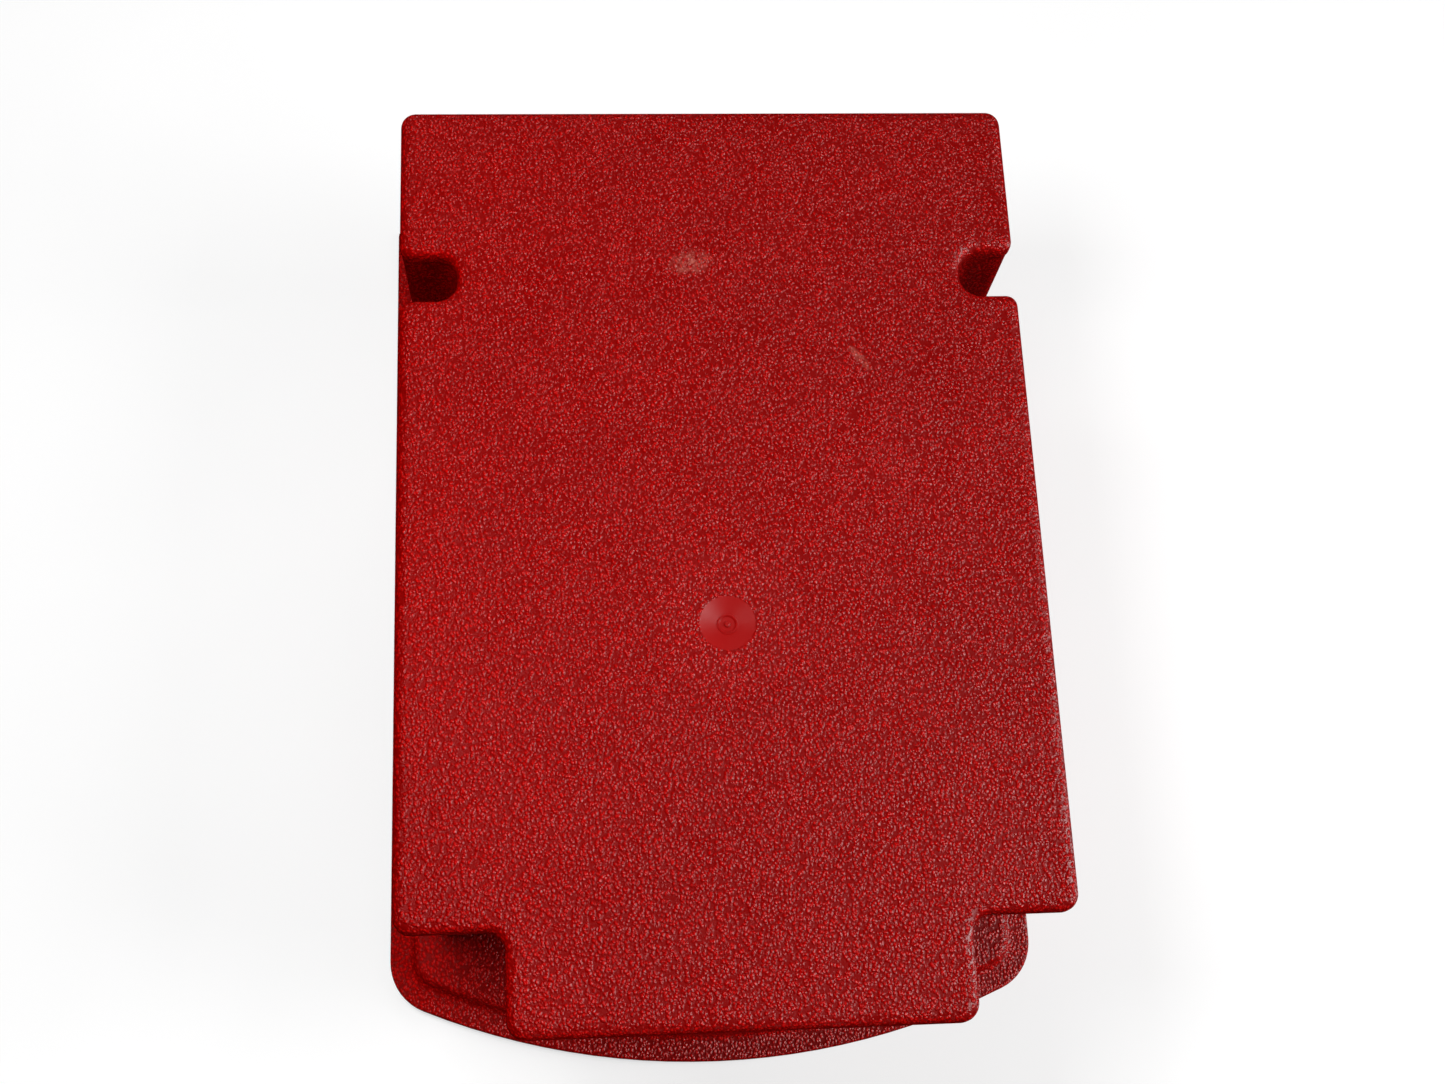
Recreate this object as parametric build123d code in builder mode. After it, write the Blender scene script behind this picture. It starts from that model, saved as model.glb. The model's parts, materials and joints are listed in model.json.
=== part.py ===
from build123d import *
import math
import os

os.makedirs("parts", exist_ok=True)

# ---------------------------------------------------------------- dimensions (mm)
# origin: middle of the foot on the ground, +X right, +Y rear, +Z up
top_z = 275.0            # top of the cover

# cover
cov_hw = 214.3           # half width
cov_front = -340.6       # front edge of the hood
cov_shoulder = -275.5    # edge of the two front corner cut-outs
cov_rear = 296.8
hood_hw = 145.4          # half width of the hood between the cut-outs
notch_y0, notch_y1 = 150.7, 184.7
notch_x = 174.6          # inner end of a side notch
cov_plate = 3.5
rim_t = 3.7
rim_z = 261.5            # lower edge of the rim
cov_edge_r = 8.0         # rounded upper edge
cov_inner_r = 4.0        # same edge inside
gate_y = -83.8
gate_r = 18.25
gate_depth = 3.6
gate_ring_r = 6.85

# tank
tank_gap = 0.8           # tank wall stands this far inside the cover's rim
tank_front, tank_rear = -248.0, 264.0
tank_wall = 4.5
tank_z0 = 29.5
step_z = 260.7           # step under the rim
rebate = 4.1
tank_top_z = 268.0
deck_z = 258.0           # upper face of the tank's roof
roof_t = 4.0

# filler
well_y, well_lx, well_ly = 90.0, 118.0, 96.0
well_z = 209.0
neck_r, neck_bore = 22.0, 18.0
neck_top = 226.0
cap_pitch = 6.0

# drain
drain_z = 62.0
drain_pitch = 4.0

# base
base_hw = 241.2
base_front, base_rear = -345.0, 345.0
nose_cy, nose_r = 206.8, 551.8
tail_cy, tail_r = 850.8, 555.8
base_z0, flange_z, plinth_z = 3.0, 10.7, 28.0
plinth_inset = 18.5

# coupling
coup_z = 158.0
tongue_y, clevis_y = -318.0, 326.0
tongue_t = 12.0
ear_gap, ear_t = 16.0, 12.0
pin_r = 8.0

# cover hinge
hin_y, hin_z, hin_x = 279.0, 250.0, 120.0
hin_pin_r = 3.0

# cover turn-buttons
btn_x, btn_z = 125.0, 214.0


def at(shapes, ax, y):
    return [v for v in shapes if abs(abs(v.X) - ax) < 0.02 and abs(v.Y - y) < 0.02]


# ---------------------------------------------------------------- plan outlines
with BuildSketch() as cover_plan:
    with Locations((0, (cov_rear + cov_shoulder) / 2)):
        Rectangle(2 * cov_hw, cov_rear - cov_shoulder)
    with Locations((0, (cov_front + cov_shoulder + 20) / 2)):
        Rectangle(2 * hood_hw, cov_shoulder + 20 - cov_front)
    with Locations((notch_x + 30, (notch_y0 + notch_y1) / 2), (-notch_x - 30, (notch_y0 + notch_y1) / 2)):
        Rectangle(60, notch_y1 - notch_y0, mode=Mode.SUBTRACT)
    fillet(at(cover_plan.vertices(), cov_hw, cov_rear), 10.5)
    fillet(at(cover_plan.vertices(), cov_hw, cov_shoulder), 11.0)
    fillet(at(cover_plan.vertices(), hood_hw, cov_shoulder), 12.5)
    fillet(at(cover_plan.vertices(), hood_hw, cov_front), 12.0)
    fillet(at(cover_plan.vertices(), notch_x, notch_y0) + at(cover_plan.vertices(), notch_x, notch_y1), 15.0)
    fillet(at(cover_plan.vertices(), cov_hw, notch_y0) + at(cover_plan.vertices(), cov_hw, notch_y1), 8.3)

t_hw = cov_hw - tank_gap
with BuildSketch() as tank_plan:
    with Locations((0, (tank_rear + tank_front) / 2)):
        Rectangle(2 * t_hw, tank_rear - tank_front)
    with Locations((notch_x - tank_gap + 30, (notch_y0 + notch_y1) / 2), (-notch_x + tank_gap - 30, (notch_y0 + notch_y1) / 2)):
        Rectangle(60, notch_y1 - notch_y0 + 2 * tank_gap, mode=Mode.SUBTRACT)
    fillet(at(tank_plan.vertices(), t_hw, tank_rear) + at(tank_plan.vertices(), t_hw, tank_front), 16.0)
    fillet(at(tank_plan.vertices(), notch_x - tank_gap, notch_y0 - tank_gap)
           + at(tank_plan.vertices(), notch_x - tank_gap, notch_y1 + tank_gap), 15.0 + tank_gap)
    fillet(at(tank_plan.vertices(), t_hw, notch_y0 - tank_gap)
           + at(tank_plan.vertices(), t_hw, notch_y1 + tank_gap), 7.6)

with BuildSketch() as base_plan:
    with Locations((0, (base_front + base_rear) / 2)):
        Rectangle(2 * base_hw, base_rear - base_front)
    with Locations((0, nose_cy)):
        Circle(nose_r, mode=Mode.INTERSECT)
    with Locations((0, tail_cy)):
        Circle(tail_r, mode=Mode.SUBTRACT)
    front_v = [v for v in base_plan.vertices() if v.Y < 0 and abs(abs(v.X) - base_hw) < 0.02]
    fillet(front_v, 39.5)
    fillet(at(base_plan.vertices(), base_hw, base_rear), 8.0)
    horn_v = [v for v in base_plan.vertices() if v.Y > 340 and abs(v.X) < 232.5]
    fillet(horn_v, 2.0)

with BuildSketch() as pocket_plan:
    add(base_plan.sketch)
    offset(amount=-45.5)

# ---------------------------------------------------------------- base tray
base_screw_xy = [(-150, -200), (0, -200), (150, -200), (-150, -10), (150, -10), (-150, 215), (0, 215), (150, 215)]
foot_xy = [(sx * 214, y) for sx in (-1, 1) for y in (-250, -85, 85, 250)]

with BuildPart() as base_tray:
    with BuildSketch(Plane.XY.offset(base_z0)):
        add(base_plan.sketch)
    extrude(amount=flange_z - base_z0)
    with BuildSketch(Plane.XY.offset(flange_z)):
        add(base_plan.sketch)
        offset(amount=-plinth_inset)
    extrude(amount=plinth_z - flange_z)
    # rounded plinth: crest fillet, foot fillet, soft flange edge
    fillet(base_tray.edges().filter_by_position(Axis.Z, plinth_z - 0.01, plinth_z + 0.01), 5.5)
    fillet([e for e in base_tray.edges().filter_by_position(Axis.Z, flange_z - 0.01, flange_z + 0.01)
            if abs(e.center().X) < base_hw - 10 and e.bounding_box().min.Y > base_front + 10
            and e.bounding_box().max.Y < base_rear - 10], 5.0)
    fillet([e for e in base_tray.edges().filter_by_position(Axis.Z, flange_z - 0.01, flange_z + 0.01)
            if e.bounding_box().max.X > base_hw - 1 or e.bounding_box().min.X < 1 - base_hw
            or e.bounding_box().min.Y < base_front + 1 or e.bounding_box().max.Y > base_rear - 1
            or (e.center().Y > 280 and e.bounding_box().min.Y > 294)], 2.0)
    # hollow underside with cross ribs
    with BuildSketch(Plane.XY.offset(base_z0)):
        add(base_plan.sketch)
        offset(amount=-46)
    extrude(amount=22.0 - base_z0, mode=Mode.SUBTRACT)
    with BuildSketch(Plane.XY.offset(6.0)):
        with Locations(*[(x, 0) for x in (-175, -130, -85, -30, 30, 85, 130, 175)]):
            Rectangle(3.5, 640)
        with Locations(*[(0, y) for y in (-270, -230, -170, -110, -50, 15, 75, 135, 190, 245)]):
            Rectangle(420, 3.5)
        add(pocket_plan.sketch, mode=Mode.INTERSECT)
    extrude(amount=16.5)
    # screw holes
    with Locations(*[(x, y, 25.0) for x, y in base_screw_xy]):
        Cylinder(3.3, 12, mode=Mode.SUBTRACT)
    with Locations(*[(x, y, base_z0 + 1.0) for x, y in foot_xy]):
        Cylinder(16.3, 2.0, mode=Mode.SUBTRACT)
    with Locations(*[(x, y, 11.5) for x, y in foot_xy]):
        Cylinder(2.6, 13, mode=Mode.SUBTRACT)
base_tray.part.label = "base_tray"
export_step(base_tray.part, "parts/base_tray.step")

with BuildPart() as rubber_feet:
    with Locations(*[(x, y, 2.5) for x, y in foot_xy]):
        Cylinder(16.0, 5.0)
    fillet(rubber_feet.edges().filter_by_position(Axis.Z, -0.01, 0.01), 1.2)
    with Locations(*[(x, y, 1.25) for x, y in foot_xy]):
        Cylinder(6.2, 2.5, mode=Mode.SUBTRACT)
    with Locations(*[(x, y, 2.5) for x, y in foot_xy]):
        Cylinder(2.8, 5.0, mode=Mode.SUBTRACT)
rubber_feet.part.label = "rubber_feet"
export_step(rubber_feet.part, "parts/rubber_feet.step")

with BuildPart() as foot_screws:
    with Locations(*[(x, y, 1.6) for x, y in foot_xy]):
        Cylinder(5.2, 1.8)
    with Locations(*[(x, y, 9.0) for x, y in foot_xy]):
        Cylinder(2.5, 13.6)
    with Locations(*[(x, y, 1.2) for x, y in foot_xy]):
        Box(7.0, 1.2, 1.1, mode=Mode.SUBTRACT)
        Box(1.2, 7.0, 1.1, mode=Mode.SUBTRACT)
foot_screws.part.label = "foot_screws"
export_step(foot_screws.part, "parts/foot_screws.step")

with BuildPart() as base_screws:
    with Locations(*[(x, y, 20.0) for x, y in base_screw_xy]):
        Cylinder(7.0, 4.0)
    with Locations(*[(x, y, 33.0) for x, y in base_screw_xy]):
        Cylinder(3.0, 24.0)
    with BuildSketch(Plane.XY.offset(18.0)):
        with Locations(*base_screw_xy):
            RegularPolygon(3.2, 6)
    extrude(amount=2.2, mode=Mode.SUBTRACT)
base_screws.part.label = "base_screws"
export_step(base_screws.part, "parts/base_screws.step")

with BuildPart() as base_seal:
    with BuildSketch(Plane.XY.offset(plinth_z)):
        add(tank_plan.sketch)
        offset(amount=-5)
        with BuildSketch(Plane.XY.offset(plinth_z), mode=Mode.SUBTRACT):
            add(tank_plan.sketch)
            offset(amount=-13)
    extrude(amount=tank_z0 - plinth_z)
base_seal.part.label = "base_seal"
export_step(base_seal.part, "parts/base_seal.step")

# ---------------------------------------------------------------- tank
bolt_xz = [(-43, coup_z - 18), (43, coup_z - 18), (-43, coup_z + 18), (43, coup_z + 18)]
hinge_screw_x = [-hin_x - 9, -hin_x + 9, hin_x - 9, hin_x + 9]
hinge_screw_z = 228.0
refl_y, refl_z, refl_l, refl_h = -50.0, 170.0, 150.0, 50.0
rivet_y = [refl_y - 66, refl_y + 66]

roof_z = deck_z - roof_t
with BuildPart() as tank_shell:
    with BuildSketch(Plane.XY.offset(tank_z0)):
        add(tank_plan.sketch)
    extrude(amount=roof_z - tank_z0)
    # ballast cavity, open at the top until the roof is welded on
    with BuildSketch(Plane.XY.offset(tank_z0 + tank_wall)):
        add(tank_plan.sketch)
        offset(amount=-tank_wall)
    extrude(amount=roof_z - tank_z0 - tank_wall + 1, mode=Mode.SUBTRACT)
    # drain port
    with Locations((0, tank_rear - 2, drain_z)):
        Cylinder(17.0, 16, rotation=(90, 0, 0), mode=Mode.SUBTRACT)
    # bosses: base screws
    with Locations(*[(x, y, 43.0) for x, y in base_screw_xy]):
        Cylinder(9.0, 26.0)
    with Locations(*[(x, y, 37.9) for x, y in base_screw_xy]):
        Cylinder(3.1, 17.4, mode=Mode.SUBTRACT)
    # bosses: coupling brackets, front and rear
    with Locations(*[(x, tank_front + 11, z) for x, z in bolt_xz]):
        Cylinder(11.0, 20, rotation=(90, 0, 0))
    with Locations(*[(x, tank_rear - 11, z) for x, z in bolt_xz]):
        Cylinder(11.0, 20, rotation=(90, 0, 0))
    with Locations(*[(x, tank_front + 7, z) for x, z in bolt_xz]):
        Cylinder(6.0, 14.1, rotation=(90, 0, 0), mode=Mode.SUBTRACT)
    with Locations(*[(x, tank_rear - 7, z) for x, z in bolt_xz]):
        Cylinder(6.0, 14.1, rotation=(90, 0, 0), mode=Mode.SUBTRACT)
    # bosses: hinge screws
    with Locations(*[(x, tank_rear - 8, hinge_screw_z) for x in hinge_screw_x]):
        Cylinder(6.5, 14, rotation=(90, 0, 0))
    with Locations(*[(x, tank_rear - 5.5, hinge_screw_z) for x in hinge_screw_x]):
        Cylinder(2.6, 12, rotation=(90, 0, 0), mode=Mode.SUBTRACT)
    # bosses: turn-button screws
    with Locations((-btn_x, tank_front + 8, btn_z), (btn_x, tank_front + 8, btn_z)):
        Cylinder(6.0, 14, rotation=(90, 0, 0))
    with Locations((-btn_x, tank_front + 5.5, btn_z), (btn_x, tank_front + 5.5, btn_z)):
        Cylinder(3.05, 12, rotation=(90, 0, 0), mode=Mode.SUBTRACT)
    # reflector seats in the side walls
    with Locations((-t_hw + tank_wall + 1.0, refl_y, refl_z), (t_hw - tank_wall - 1.0, refl_y, refl_z)):
        Box(3.0, refl_l + 12, refl_h + 12)
    with Locations((-t_hw, refl_y, refl_z), (t_hw, refl_y, refl_z)):
        Box(4.4, refl_l + 1.0, refl_h + 1.0, mode=Mode.SUBTRACT)
    with Locations(*[(s * (t_hw - 4), y, refl_z) for s in (-1, 1) for y in rivet_y]):
        Cylinder(2.3, 12, rotation=(0, 90, 0), mode=Mode.SUBTRACT)
tank_shell.part.label = "tank_shell"
export_step(tank_shell.part, "parts/tank_shell.step")

with BuildPart() as tank_roof:
    with BuildSketch(Plane.XY.offset(roof_z)):
        add(tank_plan.sketch)
    extrude(amount=step_z - roof_z)
    with BuildSketch(Plane.XY.offset(step_z)):
        add(tank_plan.sketch)
        offset(amount=-rebate)
    extrude(amount=tank_top_z - step_z)
    # tray inside the raised lip
    with BuildSketch(Plane.XY.offset(deck_z)):
        add(tank_plan.sketch)
        offset(amount=-(rebate + 4.0))
    extrude(amount=tank_top_z - deck_z + 1, mode=Mode.SUBTRACT)
    # filler well hanging from the roof
    with BuildSketch(Plane.XY.offset(well_z - 4.5)):
        with Locations((0, well_y)):
            RectangleRounded(well_lx + 8, well_ly + 8, 19)
    extrude(amount=roof_z + 1 - well_z + 4.5)
    with BuildSketch(Plane.XY.offset(well_z)):
        with Locations((0, well_y)):
            RectangleRounded(well_lx, well_ly, 15)
    extrude(amount=deck_z - well_z + 1, mode=Mode.SUBTRACT)
    with Locations((0, well_y, well_z - 2)):
        Cylinder(24.0, 12, mode=Mode.SUBTRACT)
tank_roof.part.label = "tank_roof"
export_step(tank_roof.part, "parts/tank_roof.step")

# ---------------------------------------------------------------- top cover
lug_w = 20.0
catch_x0, catch_x1 = 88.0, 112.0
with BuildPart() as top_cover:
    with BuildSketch(Plane.XY.offset(rim_z)):
        add(cover_plan.sketch)
    extrude(amount=top_z - rim_z)
    fillet(top_cover.edges().filter_by_position(Axis.Z, top_z - 0.01, top_z + 0.01), cov_edge_r)
    with BuildSketch(Plane.XY.offset(rim_z)):
        add(cover_plan.sketch)
        offset(amount=-rim_t)
    extrude(amount=top_z - cov_plate - rim_z, mode=Mode.SUBTRACT)
    fillet(top_cover.edges().filter_by_position(Axis.Z, top_z - cov_plate - 0.01, top_z - cov_plate + 0.01), cov_inner_r)
    # boss behind the gate dish, then the dish with its centre ring and the gate stub
    with Locations((0, gate_y, 269.25)):
        Cylinder(22.5, 5.5)
    with BuildSketch(Plane((0, gate_y, 0), x_dir=(1, 0, 0), z_dir=(0, -1, 0))):
        with BuildLine():
            l1 = Polyline((0, top_z + 1), (gate_r + 0.5, top_z + 1), (gate_r + 0.5, top_z))
            l2 = Line(l1 @ 1, (gate_r, top_z - 0.25))
            l3 = ThreePointArc(l2 @ 1, ((gate_r + gate_ring_r) / 2, top_z - gate_depth * 0.58), (gate_ring_r, top_z - gate_depth))
            l4 = Polyline(l3 @ 1, (gate_ring_r - 0.2, top_z - gate_depth + 0.5), (gate_ring_r - 1.0, top_z - gate_depth + 0.5),
                          (gate_ring_r - 1.9, top_z - gate_depth - 0.5), (2.2, top_z - gate_depth - 0.7),
                          (1.7, top_z - gate_depth + 0.6), (0.8, top_z - gate_depth + 0.9), (0, top_z - gate_depth + 0.9), (0, top_z + 1))
        make_face()
    revolve(axis=Axis((0, gate_y, 0), (0, 0, 1)), mode=Mode.SUBTRACT)
    # ribs over the tank
    with Locations((-70, 30, 268.0), (70, 30, 268.0)):
        Box(3.0, 400, 7.2)
    with Locations((0, 30, 268.0), (0, 140, 268.0)):
        Box(330, 3.0, 7.2)
    with Locations((0, -160, 268.0)):
        Box(380, 3.0, 7.2)
    with Locations((0, 225, 268.0)):
        Box(380, 3.0, 7.2)
    # ribs in the hood
    with Locations((-70, -296.0, 268.0), (70, -296.0, 268.0)):
        Box(3.0, 83, 7.2)
    with Locations((0, -300.0, 268.0)):
        Box(284, 3.0, 7.2)
    # hinge lugs
    for sx in (-1, 1):
        with BuildSketch(Plane.YZ.offset(sx * hin_x - lug_w / 2)):
            with Locations((hin_y, hin_z)):
                Circle(8.0)
            with Locations((hin_y, (hin_z + top_z - 2) / 2)):
                Rectangle(16.0, top_z - 2 - hin_z)
        extrude(amount=lug_w)
    with Locations((-hin_x, hin_y, hin_z), (hin_x, hin_y, hin_z)):
        Cylinder(hin_pin_r + 0.06, lug_w + 2, rotation=(0, 90, 0), mode=Mode.SUBTRACT)
    # catches for the turn-buttons: a hanging plate with a foot towards the tank
    catch_z = btn_z - 9.2
    with Locations((-(catch_x0 + catch_x1) / 2, -260.3, (catch_z + 272.0) / 2), ((catch_x0 + catch_x1) / 2, -260.3, (catch_z + 272.0) / 2)):
        Box(catch_x1 - catch_x0, 3.6, 272.0 - catch_z)
    with Locations((-(catch_x0 + catch_x1) / 2, -255.6, catch_z + 1.5), ((catch_x0 + catch_x1) / 2, -255.6, catch_z + 1.5)):
        Box(catch_x1 - catch_x0, 12.6, 3.0)
    # gussets stiffen each catch against the hood
    for cx in (-catch_x1 + 1.5, -catch_x0 - 1.5, catch_x0 + 1.5, catch_x1 - 1.5):
        with BuildSketch(Plane.YZ.offset(cx - 1.25)):
            with BuildLine():
                Polyline((-261.5, 271.8), (-261.5, 222.0), (-282.0, 271.8), close=True)
            make_face()
        extrude(amount=2.5)
top_cover.part.label = "top_cover"
export_step(top_cover.part, "parts/top_cover.step")

buffer_xy = [(-185, -225), (185, -225), (-185, 238), (185, 238)]
with BuildPart() as cover_buffers:
    with Locations(*[(x, y, (deck_z + 271.4) / 2) for x, y in buffer_xy]):
        Cylinder(9.0, 271.4 - deck_z)
    fillet(cover_buffers.edges().filter_by_position(Axis.Z, 271.39, 271.41), 2.0)
cover_buffers.part.label = "cover_buffers"
export_step(cover_buffers.part, "parts/cover_buffers.step")

# ---------------------------------------------------------------- cover hinges
for sx, side in ((-1, "left"), (1, "right")):
    with BuildPart() as hinge_bracket:
        with Locations((sx * hin_x, tank_rear + 2.0, 238.0)):
            Box(36, 4.0, 34.0)
        for ex in (-15.25, 15.25):
            with BuildSketch(Plane.YZ.offset(sx * hin_x + ex - 2.25)):
                with Locations((hin_y, hin_z)):
                    Circle(7.5)
                with Locations(((tank_rear + hin_y) / 2 + 1, hin_z - 1.5)):
                    Rectangle(hin_y - tank_rear - 2, 12.0)
            extrude(amount=4.5)
        with Locations((sx * hin_x, hin_y, hin_z)):
            Cylinder(hin_pin_r + 0.02, 60, rotation=(0, 90, 0), mode=Mode.SUBTRACT)
        with Locations((sx * hin_x - 9, tank_rear + 2, hinge_screw_z), (sx * hin_x + 9, tank_rear + 2, hinge_screw_z)):
            Cylinder(2.8, 8, rotation=(90, 0, 0), mode=Mode.SUBTRACT)
    hinge_bracket.part.label = "hinge_bracket_" + side
    export_step(hinge_bracket.part, "parts/hinge_bracket_" + side + ".step")

    with BuildPart() as hinge_pin:
        with Locations((sx * hin_x, hin_y, hin_z)):
            Cylinder(hin_pin_r, 37.0, rotation=(0, 90, 0))
        with Locations((sx * (hin_x + 19.25), hin_y, hin_z)):
            Cylinder(5.0, 3.0, rotation=(0, 90, 0))
        with Locations((sx * (hin_x - 18.6), hin_y, hin_z)):
            Cylinder(4.0, 1.8, rotation=(0, 90, 0))
    hinge_pin.part.label = "hinge_pin_" + side
    export_step(hinge_pin.part, "parts/hinge_pin_" + side + ".step")

with BuildPart() as hinge_screws:
    with Locations(*[(x, tank_rear + 4 + 1.5, hinge_screw_z) for x in hinge_screw_x]):
        Cylinder(4.5, 3.0, rotation=(90, 0, 0))
    with Locations(*[(x, tank_rear - 3.0, hinge_screw_z) for x in hinge_screw_x]):
        Cylinder(2.5, 14.0, rotation=(90, 0, 0))
    with Locations(*[(x, tank_rear + 7, hinge_screw_z) for x in hinge_screw_x]):
        Box(6.0, 2.0, 1.1, mode=Mode.SUBTRACT)
        Box(1.1, 2.0, 6.0, mode=Mode.SUBTRACT)
hinge_screws.part.label = "hinge_screws"
export_step(hinge_screws.part, "parts/hinge_screws.step")

# ---------------------------------------------------------------- turn-buttons
for sx, side in ((-1, "left"), (1, "right")):
    with BuildPart() as turn_button:
        with BuildSketch(Plane.XZ.offset(-tank_front + 1.5)):
            with Locations((sx * btn_x, btn_z)):
                Circle(8.0)
            with Locations((sx * btn_x, btn_z + 15.0)):
                Rectangle(10.0, 30.0)
            with Locations((sx * btn_x, btn_z + 30.0)):
                Circle(5.0)
        extrude(amount=4.0)
        with BuildSketch(Plane.XZ.offset(-tank_front + 5.5)):
            with Locations((sx * btn_x, btn_z + 19.0)):
                SlotOverall(20.0, 3.2, rotation=90)
        extrude(amount=2.2)
        with Locations((sx * btn_x, tank_front - 3.5, btn_z)):
            Cylinder(3.05, 10, rotation=(90, 0, 0), mode=Mode.SUBTRACT)
    turn_button.part.label = "turn_button_" + side
    export_step(turn_button.part, "parts/turn_button_" + side + ".step")

with BuildPart() as button_screws:
    for sx in (-1, 1):
        with Locations((sx * btn_x, tank_front + 0.7, btn_z)):
            Cylinder(3.0, 13.0, rotation=(90, 0, 0))
        with Locations((sx * btn_x, tank_front - 7.1, btn_z)):
            Cylinder(5.5, 3.0, rotation=(90, 0, 0))
        with Locations((sx * btn_x, tank_front - 8.6, btn_z)):
            Box(7.0, 2.0, 1.2, mode=Mode.SUBTRACT)
        with Locations((sx * btn_x, tank_front - 0.75, btn_z)):
            Cylinder(5.0, 1.5, rotation=(90, 0, 0))
button_screws.part.label = "button_screws"
export_step(button_screws.part, "parts/button_screws.step")

# ---------------------------------------------------------------- filler
with BuildPart() as filler_neck:
    with Locations((0, well_y, well_z + 1.5)):
        Cylinder(31.0, 3.0)
    with Locations((0, well_y, well_z - 4.0)):
        Cylinder(23.7, 8.0)
    with Locations((0, well_y, (well_z + neck_top) / 2)):
        Cylinder(neck_r - 0.7, neck_top - well_z)
    # thread: one start, square-shouldered ridge
    with BuildLine():
        Helix(pitch=cap_pitch, height=9.0, radius=neck_r - 0.9, center=(0, well_y, well_z + 5.0))
    with BuildSketch(Plane((neck_r - 0.9, well_y, well_z + 5.0), x_dir=(1, 0, 0), z_dir=(0, 1, 0))):
        Trapezoid(3.0, 1.9, 70, rotation=-90)
    sweep(is_frenet=True)
    with Locations((0, well_y, 210)):
        Cylinder(neck_bore, 60, mode=Mode.SUBTRACT)
filler_neck.part.label = "filler_neck"
export_step(filler_neck.part, "parts/filler_neck.step")

with BuildPart() as filler_gasket:
    with Locations((0, well_y, neck_top + 1.0)):
        Cylinder(21.0, 2.0)
        Cylinder(18.4, 2.0, mode=Mode.SUBTRACT)
filler_gasket.part.label = "filler_gasket"
export_step(filler_gasket.part, "parts/filler_gasket.step")

cap_r = 30.0
with BuildPart() as filler_cap:
    with Locations((0, well_y, 222.75)):
        Cylinder(cap_r, 19.0)
    fillet(filler_cap.edges().filter_by_position(Axis.Z, 232.2, 232.3), 2.5)
    with Locations((0, well_y, 213.2 + (neck_top + 2.0 - 213.2) / 2)):
        Cylinder(23.4, neck_top + 2.0 - 213.2, mode=Mode.SUBTRACT)
    # finger grip
    with BuildSketch(Plane.XY.offset(231.0)):
        with Locations((0, well_y)):
            SlotOverall(52.0, 11.0, rotation=20)
    extrude(amount=9.0)
    fillet(filler_cap.edges().filter_by_position(Axis.Z, 239.9, 240.1), 1.5)
    with Locations((0, well_y, 220)):
        with PolarLocations(cap_r + 0.6, 28):
            Cylinder(1.7, 16.0, mode=Mode.SUBTRACT)
filler_cap.part.label = "filler_cap"
export_step(filler_cap.part, "parts/filler_cap.step")

# ---------------------------------------------------------------- drain
with BuildPart() as drain_boss:
    with Locations((0, tank_rear + 2.0, drain_z)):
        Cylinder(26.0, 4.0, rotation=(90, 0, 0))
    with Locations((0, tank_rear - 5.0, drain_z)):
        Cylinder(16.7, 10.0, rotation=(90, 0, 0))
    fillet(drain_boss.edges().filter_by_position(Axis.Y, tank_rear + 3.99, tank_rear + 4.01), 1.0)
    with Locations((0, tank_rear, drain_z)):
        Cylinder(11.0, 40, rotation=(90, 0, 0), mode=Mode.SUBTRACT)
drain_boss.part.label = "drain_boss"
export_step(drain_boss.part, "parts/drain_boss.step")

with BuildPart() as drain_oring:
    with Locations((0, tank_rear + 5.0, drain_z)):
        Cylinder(15.0, 2.0, rotation=(90, 0, 0))
        Cylinder(11.4, 2.0, rotation=(90, 0, 0), mode=Mode.SUBTRACT)
drain_oring.part.label = "drain_oring"
export_step(drain_oring.part, "parts/drain_oring.step")

with BuildPart() as drain_plug:
    with Locations((0, tank_rear - 2.0, drain_z)):
        Cylinder(10.6, 16.0, rotation=(90, 0, 0))
    with Locations((0, tank_rear + 9.0, drain_z)):
        Cylinder(17.0, 6.0, rotation=(90, 0, 0))
    with BuildSketch(Plane.XZ.offset(-tank_rear - 11.0)):
        with Locations((0, drain_z)):
            SlotOverall(30.0, 9.0)
    extrude(amount=-8.0)
    fillet(drain_plug.edges().filter_by_position(Axis.Y, tank_rear + 18.9, tank_rear + 19.1), 1.5)
drain_plug.part.label = "drain_plug"
export_step(drain_plug.part, "parts/drain_plug.step")

# ---------------------------------------------------------------- coupling
def bracket_plate_holes(y):
    with Locations(*[(x, y, z) for x, z in bolt_xz]):
        Cylinder(4.3, 20, rotation=(90, 0, 0), mode=Mode.SUBTRACT)


with BuildPart() as front_tongue:
    with Locations((0, tank_front - 3.0, coup_z)):
        Box(108, 6.0, 60)
    fillet(front_tongue.edges().filter_by(Axis.Y), 8.0)
    with BuildSketch(Plane.XY.offset(coup_z - tongue_t / 2)):
        with BuildLine():
            Polyline((-30, tank_front - 5), (30, tank_front - 5), (13.0, tongue_y), (-13.0, tongue_y), close=True)
        make_face()
        with Locations((0, tongue_y)):
            Circle(13.0)
    extrude(amount=tongue_t)
    with BuildSketch(Plane.YZ.offset(-4)):
        with BuildLine():
            Polyline((tank_front - 5, coup_z - 5), (tank_front - 5, coup_z - 28), (tongue_y + 26, coup_z - 5), close=True)
        make_face()
    extrude(amount=8)
    with Locations((0, tongue_y, coup_z)):
        Cylinder(8.6, 40, mode=Mode.SUBTRACT)
    bracket_plate_holes(tank_front - 3)
front_tongue.part.label = "front_tongue"
export_step(front_tongue.part, "parts/front_tongue.step")

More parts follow.
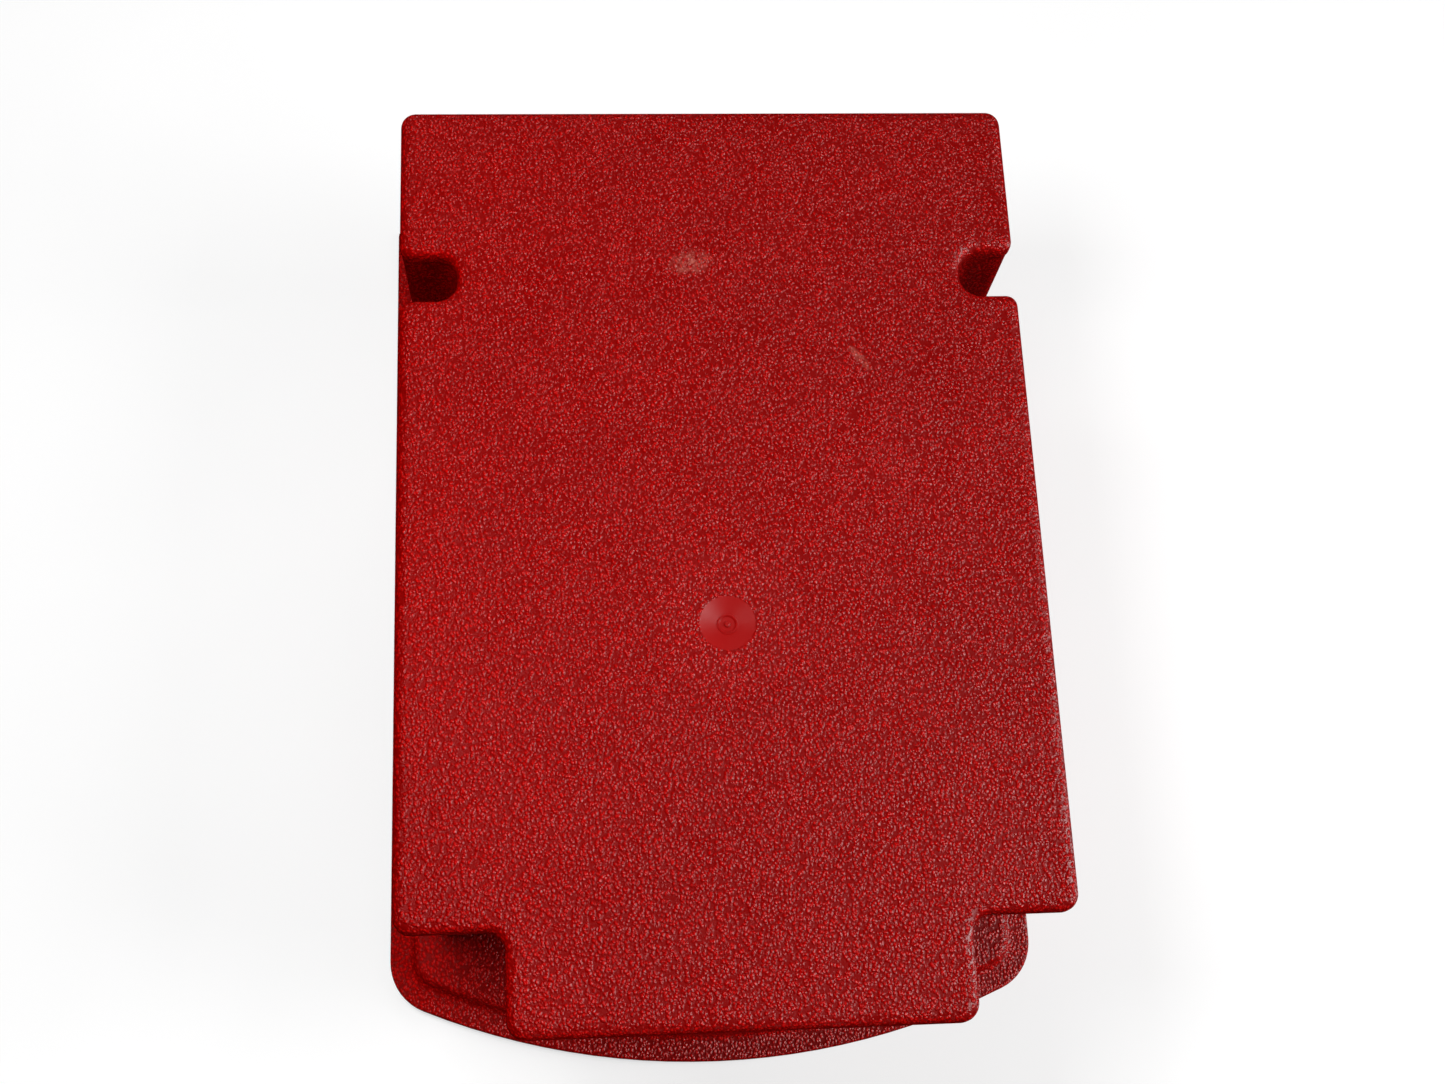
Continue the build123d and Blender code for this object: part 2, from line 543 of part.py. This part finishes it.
with BuildPart() as rear_clevis:
    with Locations((0, tank_rear + 3.0, coup_z)):
        Box(108, 6.0, 60)
    fillet(rear_clevis.edges().filter_by(Axis.Y), 8.0)
    for z0 in (coup_z - ear_gap / 2 - ear_t, coup_z + ear_gap / 2):
        with BuildSketch(Plane.XY.offset(z0)):
            with BuildLine():
                Polyline((-30, tank_rear + 5), (30, tank_rear + 5), (14.5, clevis_y), (-14.5, clevis_y), close=True)
            make_face()
            with Locations((0, clevis_y)):
                Circle(14.5)
        extrude(amount=ear_t)
    with Locations((0, clevis_y, coup_z)):
        Cylinder(pin_r + 0.1, 60, mode=Mode.SUBTRACT)
    bracket_plate_holes(tank_rear + 3)
rear_clevis.part.label = "rear_clevis"
export_step(rear_clevis.part, "parts/rear_clevis.step")

with BuildPart() as threaded_inserts:
    with Locations(*[(x, tank_front + 7.0, z) for x, z in bolt_xz]):
        Cylinder(5.9, 14.0, rotation=(90, 0, 0))
        Cylinder(4.15, 14.0, rotation=(90, 0, 0), mode=Mode.SUBTRACT)
    with Locations(*[(x, tank_rear - 7.0, z) for x, z in bolt_xz]):
        Cylinder(5.9, 14.0, rotation=(90, 0, 0))
        Cylinder(4.15, 14.0, rotation=(90, 0, 0), mode=Mode.SUBTRACT)
threaded_inserts.part.label = "threaded_inserts"
export_step(threaded_inserts.part, "parts/threaded_inserts.step")

with BuildPart() as tongue_bolts:
    with Locations(*[(x, tank_front + 2.0, z) for x, z in bolt_xz]):
        Cylinder(4.0, 18.0, rotation=(90, 0, 0))
    with BuildSketch(Plane.XZ.offset(-tank_front + 6.0)):
        with Locations(*bolt_xz):
            RegularPolygon(7.2, 6)
    extrude(amount=5.0)
tongue_bolts.part.label = "tongue_bolts"
export_step(tongue_bolts.part, "parts/tongue_bolts.step")

with BuildPart() as clevis_bolts:
    with Locations(*[(x, tank_rear - 2.0, z) for x, z in bolt_xz]):
        Cylinder(4.0, 18.0, rotation=(90, 0, 0))
    with BuildSketch(Plane.XZ.offset(-tank_rear - 6.0)):
        with Locations(*bolt_xz):
            RegularPolygon(7.2, 6)
    extrude(amount=-5.0)
clevis_bolts.part.label = "clevis_bolts"
export_step(clevis_bolts.part, "parts/clevis_bolts.step")

ear_top = coup_z + ear_gap / 2 + ear_t
with BuildPart() as coupling_pin:
    with Locations((0, clevis_y, (132.0 + ear_top) / 2 + 2)):
        Cylinder(pin_r, ear_top - 132.0 + 4)
    chamfer(coupling_pin.edges().filter_by_position(Axis.Z, 131.9, 132.1), 2.5)
    with Locations((0, clevis_y, ear_top + 2.5)):
        Cylinder(13.0, 5.0)
    with Locations((0, clevis_y, ear_top + 10.0)):
        Torus(9.6, 2.8, rotation=(90, 0, 0))
coupling_pin.part.label = "coupling_pin"
export_step(coupling_pin.part, "parts/coupling_pin.step")

# ---------------------------------------------------------------- side reflectors
for sx, side in ((-1, "left"), (1, "right")):
    with BuildPart() as reflector:
        with Locations((sx * (t_hw - 0.95), refl_y, refl_z)):
            Box(2.5, refl_l, refl_h)
        fillet(reflector.edges().filter_by(Axis.X), 3.0)
        with Locations(*[(sx * t_hw, y, refl_z) for y in rivet_y]):
            Cylinder(2.6, 8, rotation=(0, 90, 0), mode=Mode.SUBTRACT)
    reflector.part.label = "reflector_" + side
    export_step(reflector.part, "parts/reflector_" + side + ".step")

with BuildPart() as reflector_rivets:
    for sx in (-1, 1):
        with Locations(*[(sx * (t_hw - 4.0), y, refl_z) for y in rivet_y]):
            Cylinder(2.2, 9.0, rotation=(0, 90, 0))
        with Locations(*[(sx * (t_hw + 0.9), y, refl_z) for y in rivet_y]):
            Cylinder(4.4, 1.2, rotation=(0, 90, 0))
    fillet(reflector_rivets.edges().filter_by(GeomType.CIRCLE).filter_by(lambda e: abs(e.radius - 4.4) < 0.01
           and abs(e.center().X) > t_hw + 1.0), 0.8)
reflector_rivets.part.label = "reflector_rivets"
export_step(reflector_rivets.part, "parts/reflector_rivets.step")
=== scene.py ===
import json
import math

import bpy
from mathutils import Matrix, Vector

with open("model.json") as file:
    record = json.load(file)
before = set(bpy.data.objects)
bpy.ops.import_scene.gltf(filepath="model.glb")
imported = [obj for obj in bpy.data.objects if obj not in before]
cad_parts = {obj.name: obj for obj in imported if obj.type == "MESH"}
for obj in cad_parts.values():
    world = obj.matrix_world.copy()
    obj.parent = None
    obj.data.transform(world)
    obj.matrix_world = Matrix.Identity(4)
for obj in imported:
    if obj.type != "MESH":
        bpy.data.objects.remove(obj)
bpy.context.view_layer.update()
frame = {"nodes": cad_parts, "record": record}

nodes = frame["nodes"]
scene = bpy.context.scene


# ------------------------------------------------------------------ node helpers
class Mat:
    """A node material with a Principled shader and object coordinates in metres."""

    def __init__(self, name):
        self.m = bpy.data.materials.new(name)
        self.m.use_nodes = True
        self.nt = self.m.node_tree
        self.nt.nodes.clear()
        self.out = self.nt.nodes.new("ShaderNodeOutputMaterial")
        self.bsdf = self.nt.nodes.new("ShaderNodeBsdfPrincipled")
        self.nt.links.new(self.bsdf.outputs[0], self.out.inputs[0])
        self.tc = self.nt.nodes.new("ShaderNodeTexCoord").outputs["Object"]

    def put(self, socket, value):
        if isinstance(value, bpy.types.NodeSocket):
            self.nt.links.new(value, socket)
        else:
            socket.default_value = value

    def set(self, name, value):
        self.put(self.bsdf.inputs[name], value)

    def math(self, op, a, b=None, c=None, clamp=False):
        n = self.nt.nodes.new("ShaderNodeMath")
        n.operation = op
        n.use_clamp = clamp
        for i, v in enumerate((a, b, c)):
            if v is not None:
                self.put(n.inputs[i], v)
        return n.outputs[0]

    def vmath(self, op, a, b=None, scale=None):
        n = self.nt.nodes.new("ShaderNodeVectorMath")
        n.operation = op
        self.put(n.inputs[0], a)
        if b is not None:
            self.put(n.inputs[1], b)
        if scale is not None:
            self.put(n.inputs["Scale"], scale)
        return n.outputs["Value"] if op in ("LENGTH", "DOT_PRODUCT", "DISTANCE") else n.outputs["Vector"]

    def mapping(self, vec, loc=(0, 0, 0), rot=(0, 0, 0), scale=(1, 1, 1), kind="POINT"):
        n = self.nt.nodes.new("ShaderNodeMapping")
        n.vector_type = kind
        self.put(n.inputs["Vector"], vec)
        n.inputs["Location"].default_value = loc
        n.inputs["Rotation"].default_value = rot
        n.inputs["Scale"].default_value = scale
        return n.outputs[0]

    def noise(self, vec, scale, detail=2.0, rough=0.5, distortion=0.0, color=False):
        n = self.nt.nodes.new("ShaderNodeTexNoise")
        self.put(n.inputs["Vector"], vec)
        n.inputs["Scale"].default_value = scale
        n.inputs["Detail"].default_value = detail
        n.inputs["Roughness"].default_value = rough
        n.inputs["Distortion"].default_value = distortion
        return n.outputs["Color" if color else "Fac"]

    def voronoi(self, vec, scale, feature="F1", smooth=0.5, rand=1.0, out="Distance"):
        n = self.nt.nodes.new("ShaderNodeTexVoronoi")
        n.feature = feature
        self.put(n.inputs["Vector"], vec)
        n.inputs["Scale"].default_value = scale
        n.inputs["Randomness"].default_value = rand
        if feature == "SMOOTH_F1":
            n.inputs["Smoothness"].default_value = smooth
        return n.outputs[out]

    def remap(self, v, a, b, c=0.0, d=1.0, smooth=False):
        n = self.nt.nodes.new("ShaderNodeMapRange")
        n.interpolation_type = "SMOOTHSTEP" if smooth else "LINEAR"
        n.clamp = True
        self.put(n.inputs["Value"], v)
        for k, x in (("From Min", a), ("From Max", b), ("To Min", c), ("To Max", d)):
            n.inputs[k].default_value = x
        return n.outputs["Result"]

    def mix(self, fac, a, b, blend="MIX"):
        n = self.nt.nodes.new("ShaderNodeMix")
        n.data_type = "RGBA"
        n.blend_type = blend
        self.put(n.inputs["Factor"], fac)
        for s, v in ((n.inputs[6], a), (n.inputs[7], b)):
            self.put(s, v if isinstance(v, bpy.types.NodeSocket) else (*v, 1.0))
        return n.outputs[2]

    def bump(self, height, strength, distance, normal=None):
        n = self.nt.nodes.new("ShaderNodeBump")
        self.put(n.inputs["Height"], height)
        self.put(n.inputs["Strength"], strength)
        n.inputs["Distance"].default_value = distance
        if normal is not None:
            self.put(n.inputs["Normal"], normal)
        return n.outputs[0]

    def sep(self, vec):
        n = self.nt.nodes.new("ShaderNodeSeparateXYZ")
        self.put(n.inputs[0], vec)
        return n.outputs

    def spot(self, centre, rot, size, edge=0.35):
        """1 inside an ellipse of the given half sizes on the XY plane, falling to 0 outside."""
        v = self.mapping(self.tc, loc=(centre[0], centre[1], 0.275), rot=(0, 0, rot), scale=(size[0], size[1], 0.05), kind="TEXTURE")
        return self.remap(self.vmath("LENGTH", v), 1.0, 1.0 - edge, smooth=True)


# ------------------------------------------------------------------ grained red plastic
def red_plastic(name, deep, light, grain=1.0, gloss=0.5, cover=False):
    k = Mat(name)
    warp = k.noise(k.tc, 300.0, 2.0, 0.5, color=True)
    warp = k.vmath("SCALE", k.vmath("SUBTRACT", warp, (0.5, 0.5, 0.5)), scale=0.0022)
    v = k.mapping(k.vmath("ADD", k.tc, warp), scale=(1.12, 0.88, 1.0))
    # pebbles with creases between them, then small grit on top
    pebble = k.remap(k.voronoi(v, 430.0, "F1"), 0.72, 0.06, smooth=True)
    grit = k.noise(k.tc, 1300.0, 2.0, 0.6)
    uneven = k.noise(k.tc, 90.0, 3.0, 0.6)
    h = k.math("MULTIPLY_ADD", grit, 0.10, k.math("MULTIPLY", pebble, 0.90))
    h = k.math("MULTIPLY", h, k.remap(uneven, 0.3, 0.7, 0.85, 1.10))
    strength = 1.0 * grain
    cloud = k.noise(k.tc, 9.0, 4.0, 0.6)
    col = k.mix(k.remap(cloud, 0.3, 0.7), deep, light)
    dish = k.spot((0.0, -0.0838), 0.0, (0.0186, 0.0186), 0.04) if cover else None
    # painted shade and highlight: the colour is darkened in the creases between pebbles and lightened and paled on the
    # pebble tops; inside the gate dish it is held at one darker level as painted shade
    ridge_light_crease_shade = k.math("MULTIPLY_ADD", k.math("SUBTRACT", 0.28, pebble), dish, pebble) if cover else pebble
    col = k.mix(1.0, col, k.mix(ridge_light_crease_shade, (0.46, 0.28, 0.28), (1.28, 1.36, 1.36)), "MULTIPLY")
    rough = k.remap(k.noise(k.tc, 34.0, 4.0, 0.65), 0.3, 0.7, 0.27, 0.36)
    # fine dust and rubbing, in very small flecks
    fleck = k.math("MULTIPLY", k.remap(k.noise(k.tc, 900.0, 2.0, 0.7), 0.66, 0.78), k.remap(k.noise(k.tc, 14.0, 3.0, 0.6), 0.45, 0.7))
    col = k.mix(k.math("MULTIPLY", fleck, 0.35), col, (0.40, 0.16, 0.14))
    if cover:
        # the moulded edges are smoother than the flat
        edge = k.remap(k.sep(k.tc)[2], 0.2748, 0.2728, smooth=True)
        strength = k.math("MULTIPLY", k.math("SUBTRACT", 1.0, k.math("MULTIPLY", edge, 0.55)), strength)
        broken = k.remap(k.noise(k.tc, 330.0, 3.0, 0.7), 0.40, 0.62)
        blotch = k.math("MULTIPLY", k.spot((-0.014, 0.1758), 0.15, (0.019, 0.012), 0.85), broken)
        streak = k.math("MULTIPLY", k.spot((0.0995, 0.1018), math.radians(-53), (0.0155, 0.0038), 0.8), broken)
        scuff = k.math("ADD", k.math("MULTIPLY", blotch, 0.55), k.math("MULTIPLY", streak, 0.45))
        col = k.mix(k.math("MINIMUM", scuff, 1.0), col, (0.55, 0.16, 0.12))
        halo = k.spot((0.0, -0.0838), 0.0, (0.052, 0.052), 0.14)
        strength = k.math("MULTIPLY", k.math("SUBTRACT", 1.0, k.math("MULTIPLY", halo, 0.12)), strength)
        strength = k.math("MULTIPLY", strength, k.math("SUBTRACT", 1.0, k.math("MULTIPLY", dish, 0.97)))
        col = k.mix(k.math("MULTIPLY", halo, 0.04), col, (0.46, 0.030, 0.028))
        rough = k.math("ADD", rough, k.math("MULTIPLY", dish, 0.12))
    k.set("Base Color", col)
    k.set("Roughness", rough)
    k.set("Specular IOR Level", gloss)
    k.set("Normal", k.bump(h, strength, 0.00160))
    return k.m


def rubber(name):
    k = Mat(name)
    col = k.mix(k.remap(k.noise(k.tc, 60.0, 4.0, 0.6), 0.3, 0.7), (0.018, 0.018, 0.019), (0.040, 0.039, 0.038))
    dust = k.remap(k.noise(k.tc, 240.0, 4.0, 0.7), 0.55, 0.8)
    k.set("Base Color", k.mix(k.math("MULTIPLY", dust, 0.30), col, (0.16, 0.15, 0.14)))
    k.set("Roughness", k.remap(k.noise(k.tc, 130.0, 3.0, 0.6), 0.3, 0.7, 0.62, 0.82))
    k.set("Normal", k.bump(k.noise(k.tc, 900.0, 3.0, 0.65), 0.35, 0.0002))
    return k.m


def zinc(name):
    k = Mat(name)
    k.set("Metallic", 1.0)
    col = k.mix(k.remap(k.noise(k.tc, 90.0, 4.0, 0.6), 0.3, 0.7), (0.50, 0.50, 0.50), (0.66, 0.66, 0.64))
    tarnish = k.remap(k.noise(k.tc, 260.0, 4.0, 0.7), 0.56, 0.75)
    k.set("Base Color", k.mix(k.math("MULTIPLY", tarnish, 0.45), col, (0.36, 0.33, 0.27)))
    k.set("Roughness", k.remap(k.noise(k.mapping(k.tc, scale=(1, 1, 12)), 160.0, 3.0, 0.6), 0.3, 0.7, 0.26, 0.44))
    k.set("Normal", k.bump(k.noise(k.tc, 1500.0, 2.0, 0.6), 0.12, 0.0001))
    return k.m


def galvanised(name):
    k = Mat(name)
    k.set("Metallic", 0.85)
    cell = k.voronoi(k.vmath("ADD", k.tc, k.vmath("SCALE", k.noise(k.tc, 140.0, 2.0, 0.5, color=True), scale=0.004)), 150.0, "F1", out="Color")
    grey = k.sep(cell)[0]
    k.set("Base Color", k.mix(grey, (0.34, 0.36, 0.37), (0.56, 0.58, 0.59)))
    k.set("Roughness", k.remap(grey, 0.0, 1.0, 0.36, 0.58))
    k.set("Normal", k.bump(k.noise(k.tc, 420.0, 4.0, 0.6), 0.25, 0.0002))
    return k.m


def brass(name):
    k = Mat(name)
    k.set("Metallic", 1.0)
    k.set("Base Color", k.mix(k.remap(k.noise(k.tc, 150.0, 4.0, 0.6), 0.3, 0.7), (0.62, 0.43, 0.17), (0.78, 0.60, 0.30)))
    k.set("Roughness", k.remap(k.noise(k.tc, 400.0, 3.0, 0.6), 0.3, 0.7, 0.22, 0.38))
    return k.m


def grey_plastic(name, a, b):
    k = Mat(name)
    col = k.mix(k.remap(k.noise(k.tc, 40.0, 4.0, 0.6), 0.3, 0.7), a, b)
    rub = k.remap(k.noise(k.tc, 520.0, 3.0, 0.7), 0.60, 0.78)
    k.set("Base Color", k.mix(k.math("MULTIPLY", rub, 0.35), col, (0.26, 0.26, 0.26)))
    k.set("Roughness", k.remap(k.noise(k.tc, 90.0, 3.0, 0.6), 0.3, 0.7, 0.38, 0.55))
    k.set("Normal", k.bump(k.voronoi(k.tc, 1400.0, "F1"), 0.22, 0.00012))
    return k.m


def prismatic(name):
    k = Mat(name)
    v = k.mapping(k.tc, scale=(1.0, 1.0, 1.0))
    cell = k.voronoi(v, 330.0, "F1", rand=0.06)
    col = k.mix(k.remap(cell, 0.1, 0.6), (0.86, 0.87, 0.86), (0.58, 0.60, 0.61))
    grime = k.remap(k.noise(k.tc, 36.0, 5.0, 0.65), 0.45, 0.75)
    k.set("Base Color", k.mix(k.math("MULTIPLY", grime, 0.25), col, (0.45, 0.42, 0.38)))
    k.set("Roughness", k.remap(k.noise(k.tc, 70.0, 3.0, 0.6), 0.3, 0.7, 0.10, 0.24))
    k.set("Coat Weight", 0.6)
    k.set("Coat Roughness", 0.06)
    k.set("Normal", k.bump(cell, 0.35, 0.0006))
    return k.m


materials = {
    "cover_red": red_plastic("cover_red", (0.395, 0.0010, 0.0008), (0.450, 0.0016, 0.0011), 1.0, cover=True),
    "tank_red": red_plastic("tank_red", (0.330, 0.0012, 0.0010), (0.380, 0.0018, 0.0014), 0.5, 0.35),
    "base_red": red_plastic("base_red", (0.410, 0.0018, 0.0014), (0.460, 0.0030, 0.0024), 0.55, 0.38),
    "rubber_black": rubber("rubber_black"),
    "zinc_steel": zinc("zinc_steel"),
    "galvanised_steel": galvanised("galvanised_steel"),
    "brass": brass("brass_insert"),
    "cap_grey": grey_plastic("cap_grey", (0.030, 0.030, 0.032), (0.055, 0.055, 0.057)),
    "neck_grey": grey_plastic("neck_grey", (0.060, 0.060, 0.062), (0.095, 0.095, 0.097)),
    "reflector_white": prismatic("reflector_white"),
}
for sub in frame["record"]["subparts"]:
    ob = nodes[sub["node"]]
    ob.data.materials.clear()
    ob.data.materials.append(materials[sub["material_slot"]])

# ------------------------------------------------------------------ floor
bpy.ops.mesh.primitive_plane_add(size=14.0, location=(0, 0, 0))
floor = bpy.context.object
floor.name = "floor"
kf = Mat("floor_pale")
kf.set("Base Color", kf.mix(kf.remap(kf.noise(kf.tc, 3.0, 3.0, 0.5), 0.3, 0.7), (0.42, 0.42, 0.42), (0.45, 0.45, 0.45)))
kf.set("Roughness", 0.9)
kf.set("Specular IOR Level", 0.1)
kf.set("Emission Color", (1.0, 1.0, 1.0, 1.0))
kf.set("Emission Strength", 0.58)
floor.data.materials.append(kf.m)
floor.visible_glossy = False
floor.visible_diffuse = False

# ------------------------------------------------------------------ light
world = bpy.data.worlds.new("studio")
scene.world = world
world.use_nodes = True
world.node_tree.nodes["Background"].inputs[0].default_value = (1.0, 1.0, 1.0, 1.0)
world.node_tree.nodes["Background"].inputs[1].default_value = 0.82
# a pale backdrop only: the lamps alone light the object
world.cycles_visibility.diffuse = False
world.cycles_visibility.glossy = False


def area(name, loc, target, size, energy, color=(1, 1, 1), glossy=True):
    d = bpy.data.lights.new(name, "AREA")
    d.shape = "RECTANGLE"
    d.size, d.size_y = size
    d.energy = energy
    d.color = color
    o = bpy.data.objects.new(name, d)
    scene.collection.objects.link(o)
    o.location = loc
    o.rotation_euler = (Vector(target) - Vector(loc)).to_track_quat("-Z", "Y").to_euler()
    o.visible_glossy = glossy
    o.visible_camera = False
    return o


area("key_right", (3.20, -0.60, 3.20), (0.0, 0.0, 0.2), (1.8, 2.2), 88.0)
area("low_right", (1.70, -0.25, 0.60), (0.15, -0.1, 0.2), (0.5, 1.4), 18.0)
area("fill_top", (-0.44, 0.0, 1.22), (-0.12, -0.03, 0.2), (0.42, 0.42), 10.6, glossy=False)
area("fill_front", (0.20, -1.90, 0.40), (0.0, -0.2, 0.15), (1.2, 0.5), 7.5, glossy=False)
area("fill_rear", (-0.3, 2.30, 0.90), (0.0, 0.3, 0.15), (1.6, 1.0), 15.0, glossy=False)
area("fill_high", (0.0, 0.0, 4.5), (0.0, 0.0, 0.0), (5.0, 5.0), 16.0, glossy=False)

# ------------------------------------------------------------------ camera
cam_data = bpy.data.cameras.new("camera")
cam_data.sensor_width = 36.0
cam_data.lens = 46.34
cam_data.clip_start = 0.05
cam = bpy.data.objects.new("camera", cam_data)
scene.collection.objects.link(cam)
right = Vector((0.99671923, -0.04409189, 0.06787259))
up = Vector((0.02044025, 0.9485311, 0.31602365))
back = Vector((-0.07831334, -0.31359952, 0.94632043))
cam.matrix_world = Matrix((
    (right.x, up.x, back.x, -0.0969),
    (right.y, up.y, back.y, -0.4126),
    (right.z, up.z, back.z, 1.4339),
    (0.0, 0.0, 0.0, 1.0),
))
scene.camera = cam
scene.view_settings.view_transform = "Standard"
scene.view_settings.look = "None"
scene.view_settings.exposure = 0.0
